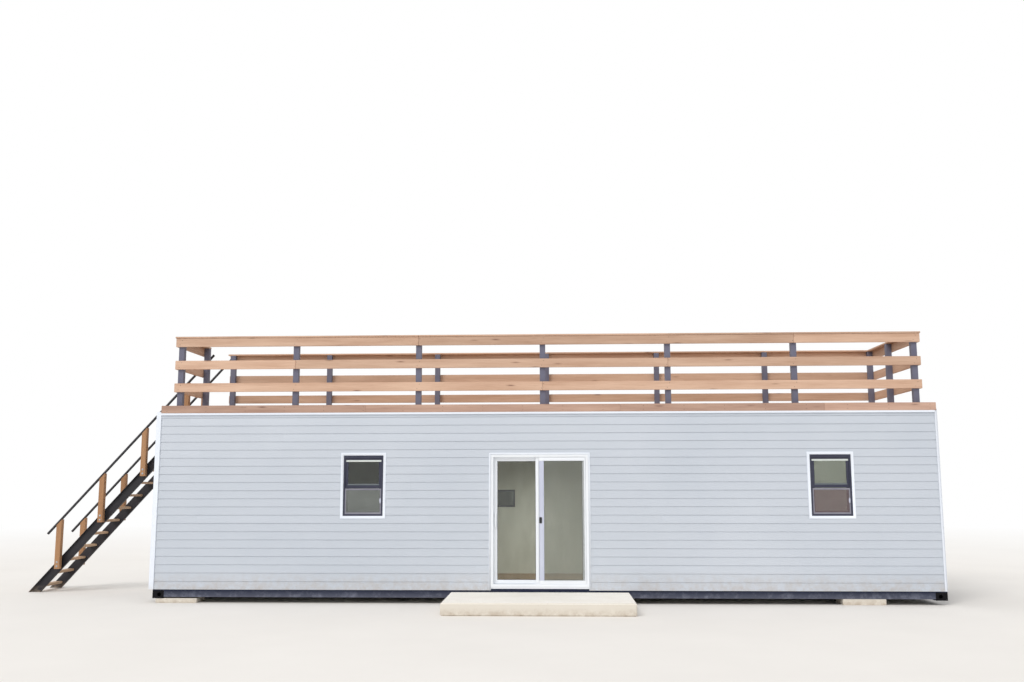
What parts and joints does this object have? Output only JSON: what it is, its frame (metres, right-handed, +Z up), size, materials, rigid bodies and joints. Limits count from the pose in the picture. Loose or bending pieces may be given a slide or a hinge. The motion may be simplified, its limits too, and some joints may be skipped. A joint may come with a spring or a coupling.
{
  "type": "shipping container cabin",
  "caption": "Lap-sided container cabin on pads with a railed roof deck, an outside stair, a sliding patio door with insect screen, windows and a doorstep.",
  "frame": {"origin": "middle of the part's footprint box, on the ground", "axes": "+X along the container towards its cargo door end, +Y away from the door side, +Z up"},
  "size_m": [14.9455, 3.932, 4.188],
  "materials": {
    "concrete": "cast, matt",
    "frame_steel": "dark charcoal paint, satin",
    "galvanised_steel": "galvanised, dull",
    "floor_board": "satin",
    "wall_panel": "painted lining, matt",
    "vinyl_siding": "pale grey-blue, low sheen, fine wood grain",
    "white_trim": "white, satin",
    "white_frame": "white, satin",
    "glass": "clear, slightly grey",
    "insect_screen": "fine woven mesh",
    "black_latch": "satin",
    "bronze_frame": "dark bronze, satin",
    "deck_wood": "sawn, unfinished",
    "fascia_wood": "stained, matt",
    "railing_post": "dark charcoal paint, matt",
    "stringer_steel": "dark navy paint, satin",
    "stair_post_wood": "brown stain, matt",
    "handrail_steel": "black paint, satin"
  },
  "bodies": {
    "cabin": {"ground_pads": "concrete", "doorstep": "concrete", "corner_castings": "frame_steel", "bottom_rails": "frame_steel", "cross_members": "frame_steel", "corner_posts": "frame_steel", "top_rails": "frame_steel", "roof": "frame_steel", "cargo_doors": "frame_steel", "lock_rods": "galvanised_steel", "floor": "floor_board", "front_wall_left": "wall_panel", "front_wall_right": "wall_panel", "front_wall_head": "wall_panel", "back_wall": "wall_panel", "left_end_wall": "wall_panel", "right_end_wall": "wall_panel", "siding_front": "vinyl_siding", "siding_back": "vinyl_siding", "siding_left_end": "vinyl_siding", "siding_trims": "white_trim", "opening_casings": "white_trim", "patio_frame": "white_frame", "fixed_panel": "white_frame", "fixed_glass": "glass", "window_glass": "glass", "window_screens": "insect_screen", "window_frames": "bronze_frame", "window_sashes": "bronze_frame", "deck_joists": "deck_wood", "deck_boards": "deck_wood", "railing_front": "deck_wood", "railing_back": "deck_wood", "railing_ends": "deck_wood", "railing_caps": "deck_wood", "stair_treads": "deck_wood", "deck_fascia": "fascia_wood", "railing_posts": "railing_post", "stair_stringers": "stringer_steel", "stair_cleats": "stringer_steel", "stair_posts": "stair_post_wood", "stair_handrails": "handrail_steel"},
    "sliding_door": {"sliding_panel": "white_frame", "sliding_glass": "glass", "door_pull": "white_frame"},
    "screen_door": {"screen_frame": "white_frame", "screen_mesh": "insect_screen", "screen_latch": "black_latch"}
  },
  "joints": [
    {"name": "door_slide", "type": "slide", "parent": "cabin", "child": "sliding_door", "axis": [1, 0, 0], "range_m": [0, 0.61]},
    {"name": "screen_slide", "type": "slide", "parent": "cabin", "child": "screen_door", "axis": [-1, 0, 0], "range_m": [0, 0.7]}
  ]
}
